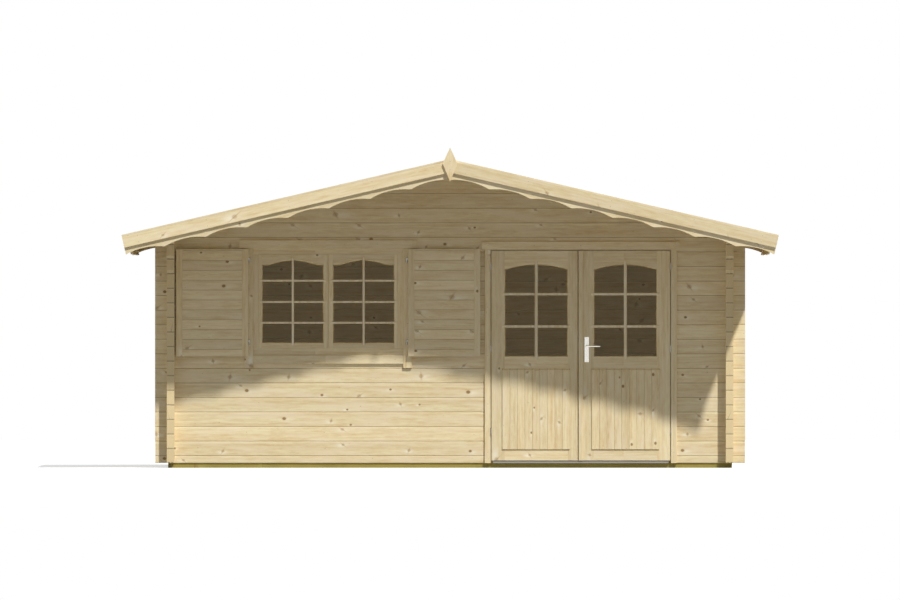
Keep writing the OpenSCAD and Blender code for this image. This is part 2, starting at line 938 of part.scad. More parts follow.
module door_casing() {
    x1 = door_casing_in + door_casing_w;
    z1 = door_top + door_head_reveal;
    outside = [-casing_t, -fit];
    inside = [log_t + fit, log_t + casing_t];
    color(spruce) at_door() {
        both_sides() {
            eased_z([door_casing_in, x1], outside, [0, z1]);
            eased_z([door_casing_in, x1], inside, [floor_t + fit, z1]);
        }
        for (y = [outside, inside]) {
            eased_x([-x1 - door_ear, x1 + door_ear], y, [z1 + fit, z1 + door_head_h]);
        }
    }
}

// metal profile that falls towards the front, with a drip nose
module threshold() {
    x = jamb_at - door_stop_w - fit;
    nose = threshold_h - threshold_fall;
    lip = threshold_h + threshold_lip;
    color(metal) at_door() along_x(-x, x) polygon([
        [-door_proud, 0], [log_t, 0], [log_t, threshold_h], [door_back + stop_air + plate_metal, threshold_h],
        [door_back + stop_air + plate_metal, lip], [door_back + stop_air, lip], [door_back + stop_air, threshold_h],
        [0, threshold_h], [-door_proud + 2, nose + 2], [-door_proud, nose]
    ]);
}

module glass_hole(x0, x1) {
    arched(x0, x1, door_glass_bottom, door_glass_side_h, door_glass_arch, 0, 0.05);
}

// frame of a leaf from x0 to x1, with the glass from g0 to g1 over the boarded panel at p0
module door_leaf(x0, x1, g0, g1, p0) {
    y0 = -door_proud;
    z1 = door_glass_bottom + door_glass_side_h + door_glass_arch + pane_lap;
    difference() {
        eased_z([x0, x1], [y0, y0 + door_t], [door_bottom, door_top]);
        along_y(y0 - 1, y0 + door_t + 1) {
            glass_hole(g0, g1);
            translate([p0 + panel_lap, panel_bottom + panel_lap])
                square([panel_w - 2 * panel_lap, panel_h - 2 * panel_lap]);
        }
        box(
            [g0 - pane_lap, g1 + pane_lap],
            [y0 + pane_at, y0 + door_t + 1],
            [door_glass_bottom - pane_lap, z1]
        );
    }
}

module door_pane(g0, g1) {
    p = pane_lap - fit;
    y = pane_at - door_proud + fit;
    z1 = door_glass_bottom + door_glass_side_h + door_glass_arch;
    box([g0 - p, g1 + p], [y, y + pane_t], [door_glass_bottom - p, z1 + p]);
}

// upright boards with vee joints, under a drip strip
module door_panel(x0) {
    y = -door_proud - panel_t;
    pitch = panel_w / panel_boards;
    difference() {
        box([x0, x0 + panel_w], [y, y + panel_t - fit], [panel_bottom, panel_bottom + panel_h]);
        translate([0, y, panel_bottom - 1]) linear_extrude(panel_h + 2) for (k = [1:panel_boards - 1]) {
            polygon(vee_cut(x0 + k * pitch));
        }
    }
    z = panel_bottom + panel_h + fit;
    along_x(x0 - drip_beyond, x0 + panel_w + drip_beyond) polygon([
        [-door_proud - fit, z], [-door_proud - drip_t, z],
        [-door_proud - drip_t, z + drip_h / 2], [-door_proud - fit, z + drip_h]
    ]);
}

// middle knuckle of a hinge, with a plate on the edge of the leaf
module leaf_knuckle() {
    half = hinge_h / 6 - fit;
    translate([door_axis_x, door_axis_y, -half]) difference() {
        cylinder(r = knuckle_r, h = 2 * half);
        translate([0, 0, -1]) cylinder(r = pin_r + pin_play, h = 2 * half + 2);
    }
    box([door_half + fit, door_half + plate_metal], [door_axis_y, plate_back], [-half, half]);
}

// outer knuckles of a hinge with the pin, and a plate on the jamb
module jamb_knuckles() {
    third = hinge_h / 3;
    translate([door_axis_x, door_axis_y, -hinge_h / 2]) cylinder(r = pin_r, h = hinge_h);
    for (z = [-hinge_h / 2, third / 2]) {
        translate([door_axis_x, door_axis_y, z]) cylinder(r = knuckle_r, h = third);
        box([jamb_at - plate_metal, jamb_at - fit], [door_axis_y, plate_back], [z, z + third]);
    }
}

module door_pins() {
    color(metal) at_door() both_sides() for (z = door_hinge_z) {
        translate([0, 0, z]) jamb_knuckles();
    }
}

module leaf_hinges() {
    color(metal) for (z = door_hinge_z) {
        translate([0, 0, z]) leaf_knuckle();
    }
}

module spindle_hole() {
    translate([spindle_x, 0, spindle_z]) rotate([90, 0, 0])
        cylinder(r = spindle_r + spindle_play, h = 4 * door_t, center = true);
}

module door_right_leaf() {
    color(spruce) at_door() difference() {
        door_leaf(-strip_left, door_half, glass_in, glass_out, panel_in);
        spindle_hole();
    }
}

module door_left_leaf() {
    color(spruce) at_door()
        door_leaf(-door_half, -leaf_left_edge, -glass_out, -glass_in, -panel_in - panel_w);
}

module door_right_glass() {
    color(pane) at_door() door_pane(glass_in, glass_out);
}

module door_left_glass() {
    color(pane) at_door() door_pane(-glass_out, -glass_in);
}

module door_right_panel() {
    color(spruce_dark) at_door() door_panel(panel_in);
}

module door_left_panel() {
    color(spruce_dark) at_door() door_panel(-panel_in - panel_w);
}

module door_right_hinges() {
    at_door() leaf_hinges();
}

module door_left_hinges() {
    at_door() mirror([1, 0, 0]) leaf_hinges();
}

module door_cover_strip() {
    y = -door_proud;
    color(spruce) at_door()
        eased_z([-strip_left, cover_w - strip_left], [y - cover_t, y - fit], [door_bottom, door_top]);
}

module handle_plates() {
    x = [spindle_x - plate_w / 2, spindle_x + plate_w / 2];
    color(metal) at_door() difference() {
        for (y = [-door_proud - plate_t - fit, door_back + fit]) {
            eased_z(x, [y, y + plate_t], [plate_bottom, plate_bottom + plate_h]);
        }
        spindle_hole();
    }
}

// lever handles inside and outside on one spindle, each a round bar with eased ends on a neck
module lever() {
    out = -door_proud - lever_out;
    inner = door_back + lever_out;
    r = lever_d / 2;
    neck = lever_out - plate_t - 2;
    color(metal) at_door() translate([spindle_x, 0, spindle_z]) {
        translate([0, inner, 0]) rotate([90, 0, 0]) cylinder(r = spindle_r, h = inner - out);
        for (y = [out, inner]) {
            translate([0, y, 0]) rotate([0, 90, 0]) rotate_extrude() polygon([
                [0, -r], [r - ease, -r], [r, ease - r], [r, lever_len - ease], [r - ease, lever_len], [0, lever_len]
            ]);
        }
        translate([0, out, 0]) rotate([-90, 0, 0]) cylinder(r = r - 1, h = neck);
        translate([0, inner, 0]) rotate([90, 0, 0]) cylinder(r = r - 1, h = neck);
    }
}

bearers();
floor_boards();
front_wall_below_window();
front_wall_left();
front_wall_middle();
front_wall_right();
front_gable();
back_wall();
left_wall();
right_wall();
purlins();
roof_boards_left();
roof_boards_right();
eave_boards();
bargeboards_front();
scalloped_boards_front();
bargeboards_back();
scalloped_boards_back();
verge_strips();
finials();
window_frame();
window_sashes();
window_glass();
window_casing();
shutter_left();
shutter_right();
shutter_left_boards();
shutter_right_boards();
shutter_left_hinges();
shutter_right_hinges();
shutter_pins();
door_frame();
door_casing();
threshold();
door_pins();
door_left_leaf();
door_left_glass();
door_left_panel();
door_left_hinges();
door_right_leaf();
door_right_glass();
door_right_panel();
door_right_hinges();
door_cover_strip();
handle_plates();
lever();
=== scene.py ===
"""Looks of a garden log cabin: spruce logs and boards with rings, knots and end grain, treated bearers,
glazing bars, beads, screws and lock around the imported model. Metres, Z up, the front looks towards -Y."""

import math

import bpy
import numpy as np
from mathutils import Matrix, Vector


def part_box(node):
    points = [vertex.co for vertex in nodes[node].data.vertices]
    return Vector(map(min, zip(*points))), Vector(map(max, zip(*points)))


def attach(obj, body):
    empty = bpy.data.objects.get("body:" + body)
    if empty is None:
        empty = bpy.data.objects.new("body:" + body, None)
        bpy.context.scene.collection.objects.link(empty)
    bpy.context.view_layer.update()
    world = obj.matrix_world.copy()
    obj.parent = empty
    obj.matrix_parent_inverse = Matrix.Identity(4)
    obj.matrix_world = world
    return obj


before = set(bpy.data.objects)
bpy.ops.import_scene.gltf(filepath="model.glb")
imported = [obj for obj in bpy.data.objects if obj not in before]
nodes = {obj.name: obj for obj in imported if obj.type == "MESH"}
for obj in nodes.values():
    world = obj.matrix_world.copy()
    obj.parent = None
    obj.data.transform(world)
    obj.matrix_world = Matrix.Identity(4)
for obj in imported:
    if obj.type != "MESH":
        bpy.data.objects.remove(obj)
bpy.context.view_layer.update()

# ---- View and studio ----------------------------------------------------------------------
# A level, square-on elevation from so far off that nothing converges, over a plain pale floor.
# One soft key lamp stands high on the right, in front, and a pale sky fills the shade.
view_width = 8.325
view_distance = 240.0
view_target = (-0.001, -2.1, 1.5565)
sensor_width = 36.0
key_direction = (0.68, -1.0, 1.63)
key_level = 1.17
key_softness = math.radians(2.2)
sky_level = 0.33
sky_tint = (0.93, 0.97, 1.0, 1.0)
floor_half = 45.0
floor_drop = 0.0005
floor_colour = (0.27, 0.27, 0.275)
floor_glow = 0.45
white = (1.0, 1.0, 1.0, 1.0)

camera_data = bpy.data.cameras.new("camera")
camera_data.sensor_width = sensor_width
camera_data.lens = sensor_width * view_distance / view_width
camera_data.clip_start = 1.0
camera_data.clip_end = 2.0 * view_distance
camera = bpy.data.objects.new("camera", camera_data)
camera.location = (view_target[0], view_target[1] - view_distance, view_target[2])
camera.rotation_euler = (math.pi / 2, 0.0, 0.0)
bpy.context.scene.collection.objects.link(camera)
bpy.context.scene.camera = camera
bpy.context.scene.view_settings.view_transform = "Standard"

key_data = bpy.data.lights.new("key", "SUN")
key_data.energy = key_level * math.pi
key_data.angle = key_softness
key = bpy.data.objects.new("key", key_data)
key.rotation_euler = Vector(key_direction).to_track_quat("Z", "Y").to_euler()
bpy.context.scene.collection.objects.link(key)


def add(tree, kind, settings, inputs, output=0):
    """One shader node: its settings by name, its inputs by name or number, each a value or a socket."""
    node = tree.nodes.new("ShaderNode" + kind)
    for name, value in settings.items():
        setattr(node, name, value)
    for name, value in inputs.items():
        if isinstance(value, bpy.types.NodeSocket):
            tree.links.new(value, node.inputs[name])
        else:
            node.inputs[name].default_value = value
    return node.outputs[output]


def calc(tree, operation, *values):
    """One sum on numbers or sockets."""
    return add(tree, "Math", {"operation": operation}, dict(enumerate(values)))


def blend(tree, amount, first, second):
    """Colour that goes from first to second as amount goes from 0 to 1."""
    return add(tree, "Mix", {"data_type": "RGBA"}, {0: amount, 6: first, 7: second}, 2)


def looked_at(tree):
    """1 where a ray comes from the view itself, through glass or off a shiny face, and 0 elsewhere."""
    path = add(tree, "LightPath", {}, {}).node.outputs
    seen = calc(tree, "MAXIMUM", path["Is Camera Ray"], path["Is Transmission Ray"])
    return calc(tree, "MAXIMUM", seen, path["Is Glossy Ray"])


world = bpy.data.worlds.new("sky")
world.use_nodes = True
sky = world.node_tree
background = sky.nodes["Background"]
seen = looked_at(sky)
sky.links.new(blend(sky, seen, sky_tint, white), background.inputs["Color"])
sky.links.new(calc(sky, "MULTIPLY_ADD", seen, 1.0 - sky_level, sky_level), background.inputs["Strength"])
bpy.context.scene.world = world

floor_mesh = bpy.data.meshes.new("studio_floor")
floor_corners = [(x * floor_half, y * floor_half, 0) for x, y in ((-1, -1), (1, -1), (1, 1), (-1, 1))]
floor_mesh.from_pydata(floor_corners, [], [(0, 1, 2, 3)])
studio_floor = bpy.data.objects.new("studio_floor", floor_mesh)
studio_floor.location.z = -floor_drop
bpy.context.scene.collection.objects.link(studio_floor)
floor_paint = bpy.data.materials.new("studio_floor")
floor_paint.use_nodes = True
paint = floor_paint.node_tree
seen = looked_at(paint)
shader = paint.nodes["Principled BSDF"]
paint.links.new(blend(paint, seen, (*floor_colour, 1.0), white), shader.inputs["Base Color"])
shader.inputs["Roughness"].default_value = 1.0
shader.inputs["Specular IOR Level"].default_value = 0.0
shader.inputs["Emission Color"].default_value = white
paint.links.new(calc(paint, "MULTIPLY", seen, floor_glow), shader.inputs["Emission Strength"])
floor_mesh.materials.append(floor_paint)

# ---- Log walls ----------------------------------------------------------------------------
# Planed spruce logs, 70 by 135 mm, laid in courses; the front and back walls start with a half log.
# Each log is sawn round its own heart, so it shows its own rings, knots and tone, and end grain.
log_height = 0.135
log_thickness = 0.070
log_end = 0.110
wall_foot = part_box("floor_boards")[0].z
front_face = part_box("front_wall_left")[0].y
back_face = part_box("left_wall")[1].y - log_end
side_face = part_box("front_wall_right")[1].x - log_end
roof_pitch = math.radians(13.0)
spruce_light = (0.865, 0.745, 0.465)
spruce_late = (0.64, 0.425, 0.185)
knot_brown = (0.27, 0.165, 0.055)
knot_rim = (0.15, 0.08, 0.03)
# spacing along the piece, smallest and largest radius, share of cells that have a knot, depth of the
# core's colour, share of pale wood beside it, and whether it is a branch cut lengthwise
knot_layers = (
    (0.66, 0.0070, 0.0150, 0.36, 0.92, 0.9, False),
    (0.58, 0.0100, 0.0210, 0.46, 0.30, 1.0, True),
    (0.23, 0.0016, 0.0034, 0.38, 0.50, 0.0, False),
)
seam_dust_and_shade_width = 0.0024
end_seam_shade_width = 0.0042
highlight_below_top = 0.010
highlight_width = 0.006
narrowest_ring = 0.0022
ring_spread = 0.0016
widest_board = 0.2


def timber(name, along, across, through, start, pitch, seed, rails=(), heart="inside", shade=1.0,
           light=spruce_light, late=spruce_late, knots=1.0, seam_dust_and_shade=0.0, painted_highlight=0.0, ridge=None):
    """A spruce finish. Each piece is one step of pitch across. Its rings are circles round a heart line:
    ring = distance(across, through) from the heart + slow wander along the piece + the push of knots.
    Colour goes from light to late wood by noise on the ring, by long streaks, by short figure and by each
    year's dark edge. Each layer of knots has at most one to a cell along the piece, and knots scales how
    many there are. Faces square to the grain show end grain. heart says whether the heart line lies inside
    each piece or behind it, rails are boxes (x0, x1, z0, z1) where the grain runs crosswise, and shade
    scales the whole; below 1 it is painted shade. The seam amount darkens the edges of each piece, painted
    shade and dust in the seams, and the highlight amount lightens a band under its upper edge, a painted
    highlight where the planed top catches the light. With a ridge height, axes u and v run down and square
    to each slope of the roof."""
    material = bpy.data.materials.new(name)
    material.use_nodes = True
    tree = material.node_tree
    shader = tree.nodes["Principled BSDF"]

    def m(operation, *values):
        return calc(tree, operation, *values)

    def mad(value, factor, offset):
        return calc(tree, "MULTIPLY_ADD", value, factor, offset)

    def noise(vector, scale, detail=2.0, roughness=0.5):
        return add(tree, "TexNoise", {}, {"Vector": vector, "Scale": scale, "Detail": detail, "Roughness": roughness})

    def vector(*parts):
        return add(tree, "CombineXYZ", {}, dict(enumerate(parts)))

    def chance(*parts):
        """Random numbers for a cell, as a colour and as a value."""
        node = add(tree, "TexWhiteNoise", {}, {"Vector": vector(*parts)}, "Color").node
        return node.outputs["Color"], node.outputs["Value"]

    def split(value):
        return list(add(tree, "SeparateXYZ", {}, {0: value}).node.outputs)

    def scaled(colour, amount):
        return add(tree, "VectorMath", {"operation": "SCALE"}, {0: colour, "Scale": amount})

    def fade(value, rate):
        """Falls from 1 towards 0 as value grows."""
        return m("EXPONENT", m("MULTIPLY", value, -rate))

    coordinates = add(tree, "TexCoord", {}, {}, "Object").node
    x, y, z = split(coordinates.outputs["Object"])
    nx, ny, nz = split(coordinates.outputs["Normal"])
    place = {"x": x, "y": y, "z": z}
    facing = {"x": nx, "y": ny, "z": nz}
    side = 0.0
    if ridge is not None:
        side = m("GREATER_THAN", x, 0.0)
        reach = m("ABSOLUTE", x)
        drop = m("SUBTRACT", z, ridge)
        c, s = math.cos(roof_pitch), math.sin(roof_pitch)
        place["u"] = m("SUBTRACT", m("MULTIPLY", reach, c), m("MULTIPLY", drop, s))
        place["v"] = m("ADD", m("MULTIPLY", reach, s), m("MULTIPLY", drop, c))
        outward = m("MULTIPLY", nx, m("SIGN", x))
        facing["u"] = m("SUBTRACT", m("MULTIPLY", outward, c), m("MULTIPLY", nz, s))
        facing["v"] = m("ADD", m("MULTIPLY", outward, s), m("MULTIPLY", nz, c))
    length = m("SUBTRACT", place[along], start[0])
    width = m("SUBTRACT", place[across], start[1])
    depth = m("SUBTRACT", place[through], start[2])
    grain_face = facing[along]
    row = m("FLOOR", m("DIVIDE", width, pitch))
    if rails:
        rail = 0.0
        for number, (x0, x1, z0, z1) in enumerate(rails):
            inside = m("MULTIPLY", m("COMPARE", x, (x0 + x1) / 2, (x1 - x0) / 2),
                       m("COMPARE", z, (z0 + z1) / 2, (z1 - z0) / 2))
            rail = m("MAXIMUM", rail, inside)
            row = m("ADD", row, m("MULTIPLY", inside, 31.0 + 7.0 * number))
        length, width = (
            m("ADD", length, m("MULTIPLY", rail, m("SUBTRACT", width, length))),
            m("ADD", width, m("MULTIPLY", rail, m("SUBTRACT", length, width))),
        )
        grain_face = m("ADD", grain_face, m("MULTIPLY", rail, m("SUBTRACT", facing[across], grain_face)))
    within = m("FLOORED_MODULO", width, pitch)
    board = min(pitch, widest_board)

    colour_of_row, one = chance(row, seed, side)
    r1, r2, r3 = split(colour_of_row)
    slide = m("MULTIPLY", one, 40.0)
    shifted = m("ADD", length, slide)

    # knots: the nearest one gives the distance in radii, the radius and the depth of colour
    distance, size, core, patch, branch = 30.0, 0.01, 1.0, 0.0, 0.0
    for layer, (spacing, small, large, share, dark_core, beside, along_cut) in enumerate(knot_layers):
        cell = m("FLOOR", m("DIVIDE", shifted, spacing))
        pick, has = chance(cell, m("ADD", row, 17.0 * layer + 0.5), seed + 3.0)
        k1, k2, k3 = split(pick)
        knot_l = m("MULTIPLY", m("ADD", cell, mad(k1, 0.6, 0.2)), spacing)
        knot_w = m("MULTIPLY", mad(k2, 0.8, 0.10), board)
        radius = mad(m("MULTIPLY", k3, k3), large - small, small)
        off_l = m("DIVIDE", m("SUBTRACT", shifted, knot_l), radius)
        off_w = m("DIVIDE", m("SUBTRACT", within, knot_w), radius)
        missing = m("MULTIPLY", m("GREATER_THAN", has, share * knots), 90.0)
        oval = m("ADD", m("POWER", m("DIVIDE", off_l, 1.25), 2.0), m("POWER", off_w, 2.0))
        away = m("ADD", m("SQRT", oval), missing)
        nearer = m("LESS_THAN", away, distance)
        size = m("ADD", size, m("MULTIPLY", nearer, m("SUBTRACT", radius, size)))
        core = m("ADD", core, m("MULTIPLY", nearer, m("SUBTRACT", dark_core, core)))
        distance = m("MINIMUM", distance, away)
        if beside:
            lean = mad(k3, 5.0, -2.5)
            pale_l = m("POWER", m("DIVIDE", m("SUBTRACT", off_l, lean), 3.3), 2.0)
            pale_w = m("POWER", m("DIVIDE", m("ADD", off_w, mad(k1, 2.0, 0.2)), 1.3), 2.0)
            pale_wood = fade(m("ADD", m("ADD", pale_l, pale_w), missing), 0.8)
            patch = m("MAXIMUM", patch, m("MULTIPLY", pale_wood, beside))
        if along_cut:
            slant = m("POWER", m("DIVIDE", m("ADD", off_l, m("MULTIPLY", off_w, mad(k2, 3.4, -1.5))), 0.45), 2.0)
            spread = m("POWER", m("DIVIDE", off_w, 1.8), 2.0)
            branch = m("MAXIMUM", branch, fade(m("ADD", m("ADD", slant, spread), missing), 0.9))
    push = m("MULTIPLY", m("MULTIPLY", fade(distance, 0.5), size), 1.7)

    # rings
    if heart == "inside":
        heart_w = m("MULTIPLY", mad(r1, 0.9, 0.05), pitch)
        heart_d = mad(r2, 0.085, -0.02)
    else:
        heart_w = m("MULTIPLY", mad(r1, 1.5, -0.25), board)
        heart_d = mad(r2, 0.07, 0.035)
    stretched = vector(shifted, m("MULTIPLY", within, 4.0), m("MULTIPLY", depth, 4.0))
    wander = m("SUBTRACT", noise(stretched, 0.9), 0.5)
    tremble = m("SUBTRACT", noise(stretched, 6.0), 0.5)
    flat_w = m("SUBTRACT", within, heart_w)
    flat_d = m("SUBTRACT", depth, heart_d)
    circle = m("SQRT", m("ADD", m("POWER", flat_w, 2.0), m("POWER", flat_d, 2.0)))
    ring = m("ADD", mad(wander, 0.05, circle), mad(tremble, 0.007, push))
    ring_width = mad(r3, ring_spread, narrowest_ring)
    latewood = m("POWER", m("FRACT", m("DIVIDE", ring, ring_width)), 3.0)

    def drawn_out(*parts):
        """A place for noise, each of its three numbers stretched by its own factor."""
        return vector(*(m("MULTIPLY", value, factor) for value, factor in parts))

    years = noise(drawn_out((ring, 44.0), (row, 7.7), (shifted, 0.5)), 1.0, 3.0, 0.62)
    streak = noise(drawn_out((shifted, 2.6), (within, 46.0), (depth, 30.0)), 1.0, 3.0, 0.6)
    fibre = noise(drawn_out((length, 9.0), (within, 420.0), (depth, 420.0)), 1.0)
    cloud = noise(vector(m("MULTIPLY", shifted, 2.8), m("MULTIPLY", within, 15.0), seed), 1.0, 3.0)

    # colour along the grain
    figure = noise(vector(m("MULTIPLY", shifted, 9.0), m("MULTIPLY", within, 40.0), seed + 5.0), 1.0, 3.0, 0.65)
    dark = m("ADD", mad(m("SUBTRACT", years, 0.5), 1.15, 0.25),
             mad(m("SUBTRACT", streak, 0.5), 1.05, m("MULTIPLY", latewood, 0.22)))
    dark = mad(m("SUBTRACT", figure, 0.5), 0.9, dark)
    dark = m("MINIMUM", m("MAXIMUM", dark, 0.0), 1.0)
    wood = blend(tree, dark, (*light, 1.0), (*late, 1.0))
    wood = blend(tree, m("MINIMUM", m("MAXIMUM", mad(cloud, 3.0, -1.35), 0.0), 0.7), wood,
                 (light[0], light[1] * 0.97, light[2] * 1.06, 1.0))
    # Painted shade and dust in the seams: the tone falls within a few millimetres of each edge of a piece.
    edge = m("MINIMUM", within, m("SUBTRACT", pitch, within))
    tone = m("MULTIPLY", mad(one, 0.12, 0.94 * shade), mad(fibre, 0.14, 0.93))
    tone = m("MULTIPLY", tone, mad(fade(m("POWER", m("DIVIDE", edge, seam_dust_and_shade_width), 2.0), 1.0), -seam_dust_and_shade, 1.0))
    # Painted highlight: a lighter band just under the upper edge of each piece, where its rounded top catches the
    # light.
    if painted_highlight:
        below_top = m("DIVIDE", m("SUBTRACT", m("SUBTRACT", pitch, within), highlight_below_top), highlight_width)
        tone = m("MULTIPLY", tone, mad(fade(m("POWER", below_top, 2.0), 1.0), painted_highlight, 1.0))

    # pale wood beside a knot, the branch cut lengthwise, then the knot's brown edge and core
    pale = (min(light[0] * 1.12, 0.96), light[1] * 1.17, light[2] * 1.40, 1.0)
    wood = blend(tree, m("MULTIPLY", patch, mad(tremble, 2.0, 0.8)), wood, pale)
    wood = blend(tree, m("MULTIPLY", branch, 0.7), wood,
                 (light[0] * 0.60, light[1] * 0.41, light[2] * 0.22, 1.0))
    brown = m("MULTIPLY", fade(m("MAXIMUM", m("SUBTRACT", distance, 1.0), 0.0), 3.0), mad(core, 0.55, 0.12))
    wood = blend(tree, brown, wood, (light[0] * 0.66, light[1] * 0.50, light[2] * 0.36, 1.0))
    knot = blend(tree, m("MULTIPLY", m("FRACT", m("MULTIPLY", distance, 3.3)), 0.35), (*knot_brown, 1.0),
                 (knot_brown[0] * 1.6, knot_brown[1] * 1.6, knot_brown[2] * 1.5, 1.0))
    knot = blend(tree, m("COMPARE", distance, 0.93, 0.10), knot, (*knot_rim, 1.0))
    is_knot = m("MINIMUM", m("MAXIMUM", mad(m("SUBTRACT", mad(tremble, 0.5, 1.05), distance), 4.0, 0.0), 0.0), 1.0)
    wood = scaled(blend(tree, m("MULTIPLY", is_knot, core), wood, knot), tone)

    # end grain: the same rings without wander, a little darker, with fine cracks from the heart and a
    # wider painted shade in the seam between pieces
    is_end = m("GREATER_THAN", m("ABSOLUTE", grain_face), 0.6)
    end_ring = m("DIVIDE", mad(tremble, 0.003, circle), ring_width)
    bearing = m("ARCTAN2", flat_w, flat_d)
    crack = noise(vector(m("MULTIPLY", bearing, 1.6), m("MULTIPLY", row, 3.1), seed), 1.0)
    crack = m("MULTIPLY", m("COMPARE", crack, 0.5, 0.0025), m("GREATER_THAN", one, 0.55))
    end_dark = mad(m("POWER", m("FRACT", end_ring), 2.0), 0.42, mad(fibre, 0.2, 0.06))
    end_wood = blend(tree, end_dark, (light[0] * 0.98, light[1] * 0.95, light[2] * 0.90, 1.0), (*late, 1.0))
    end_wood = blend(tree, m("MULTIPLY", crack, 0.5), end_wood,
                     (late[0] * 0.45, late[1] * 0.42, late[2] * 0.4, 1.0))
    end_seam_shade = fade(m("POWER", m("DIVIDE", edge, end_seam_shade_width), 2.0), 1.0)
    wood = blend(tree, is_end, wood, scaled(end_wood, m("MULTIPLY", tone, mad(end_seam_shade, -1.2 * seam_dust_and_shade, 1.0))))

    tree.links.new(wood, shader.inputs["Base Color"])
    tree.links.new(mad(latewood, -0.12, 0.66), shader.inputs["Roughness"])
    shader.inputs["Specular IOR Level"].default_value = 0.32
    relief = m("SUBTRACT", mad(latewood, 0.5, m("MULTIPLY", fibre, 0.5)), m("MULTIPLY", is_knot, 0.5))
    bump = add(tree, "Bump", {}, {"Strength": 0.35, "Distance": 0.0006, "Height": relief})
    tree.links.new(bump, shader.inputs["Normal"])
    return material


def finish(names, material):
    """Gives CAD nodes a material in every slot they have."""
    for name in names:
        slots = nodes[name].data.materials
        slots.clear()
        slots.append(material)


course_start = wall_foot - log_height / 2
front_parts = ("front_wall_below_window", "front_wall_left", "front_wall_middle", "front_wall_right", "front_gable")
walls = [(name, "x", "y", course_start, front_face, seed * 1.7 + 0.3) for seed, name in enumerate(front_parts)]
walls += [
    ("back_wall", "x", "y", course_start, back_face - log_thickness, 11.4),
    ("left_wall", "y", "x", wall_foot, -side_face, 13.9),
    ("right_wall", "y", "x", wall_foot, side_face - log_thickness, 17.2),
]
for name, along, through, foot, face, seed in walls:
    finish([name], timber(name, along, "z", through, (0, foot, face), log_height, seed, seam_dust_and_shade=0.38, painted_highlight=0.065))

# ---- Bearers and floor --------------------------------------------------------------------
# Pressure-treated bearers and joists, green from the salts, under tongued floor boards of spruce.
# The boards run along the house and are nailed to the joists.
treated_light = (0.385, 0.303, 0.060)
treated_late = (0.245, 0.192, 0.036)
floor_board = 0.092
bearer_step = 3.0
finish(["bearers"], timber("bearers", "x", "y", "z", (0, front_face, 0), bearer_step, 21.0, heart="outside",
                           light=treated_light, late=treated_late))
floor_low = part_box("floor_boards")[0]
finish(["floor_boards"], timber("floor_boards", "x", "y", "z", (0, floor_low.y, floor_low.z), floor_board, 23.0,
                                heart="outside", seam_dust_and_shade=0.35))

# ---- Roof ---------------------------------------------------------------------------------
# Ridge beam and purlins of planed spruce lie in the gables and carry bare tongued roof boards,
# nailed from ridge to eave; a board closes their ends along each eave.
deck_board = 0.096
deck_thickness = 0.019
purlin_half, purlin_depth, purlin_step = 0.035, 0.12, 0.758
deck_low, deck_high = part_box("roof_boards_right")
ridge_line = deck_high.z - deck_thickness / math.cos(roof_pitch)
finish(["purlins"], timber("purlins", "y", "x", "z", (0, -purlin_half, ridge_line - purlin_depth), purlin_step, 27.0))
# shade=0.84 gives the roof boards painted shade: the same spruce made darker than on the walls, so their tops under
# the high lamp come out no brighter.
for name, seed in (("roof_boards_left", 31.0), ("roof_boards_right", 33.0)):
    finish([name], timber(name, "u", "y", "v", (0, deck_low.y, 0), deck_board, seed, heart="outside",
                         shade=0.84, knots=0.7, seam_dust_and_shade=0.4, ridge=ridge_line))


def mesh_piece(name, body, material, slot, vertices, faces, smooth=False):
    """A new piece with its place in its mesh, riding on a body, with a material; slot is not used."""
    mesh = bpy.data.meshes.new(name)
    mesh.from_pydata([tuple(v) for v in vertices.tolist()], [], faces)
    mesh.materials.append(material)
    if smooth:
        mesh.polygons.foreach_set("use_smooth", [True] * len(mesh.polygons))
    mesh.update()
    piece = bpy.data.objects.new(name, mesh)
    bpy.context.scene.collection.objects.link(piece)
    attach(piece, body)
    return piece


def heads(name, body, groups, radius, rise, sides, material):
    """Nail or screw heads. One head is a low dome with a dished centre: rings at reach times the radius and
    height times the rise, then a centre point lower than the last ring, turned round the normal of its
    face, closed underneath and copied to each centre. groups is a list of (centres, normal, direction of
    the first corner)."""
    reach = np.array([1.0, 0.82, 0.42])
    height = np.array([0.0, 0.85, 1.0])
    angle = np.arange(sides) * (2 * math.pi / sides)
    flat = (radius * reach[:, None] * np.cos(angle)).ravel()
    over = (radius * reach[:, None] * np.sin(angle)).ravel()
    up = np.repeat(rise * height, sides)
    dish = 0.55
    flat, over, up = np.append(flat, 0.0), np.append(over, 0.0), np.append(up, dish * rise)
    ring = np.arange(sides)
    after = (ring + 1) % sides
    quads = [np.stack([k * sides + ring, k * sides + after, (k + 1) * sides + after, (k + 1) * sides + ring], 1)
             for k in (0, 1)]
    fan = np.stack([2 * sides + ring, 2 * sides + after, np.full(sides, 3 * sides)], 1)
    vertices, faces, base = [], [], 0
    for centres, normal, first in groups:
        centres = np.asarray(centres, float).reshape(-1, 3)
        normal = np.asarray(normal, float) / np.linalg.norm(normal)
        first = np.asarray(first, float) / np.linalg.norm(first)
        second = np.cross(normal, first)
        shape = flat[:, None] * first + over[:, None] * second + up[:, None] * normal
        vertices.append((centres[:, None, :] + shape[None]).reshape(-1, 3))
        offsets = base + np.arange(len(centres)) * len(shape)
        for part in (*quads, fan, ring[None, ::-1]):
            faces += (offsets[:, None, None] + part[None]).reshape(-1, part.shape[1]).tolist()
        base += len(centres) * len(shape)
    return mesh_piece(name, body, material, "hinge_steel", np.concatenate(vertices), faces, smooth=True)


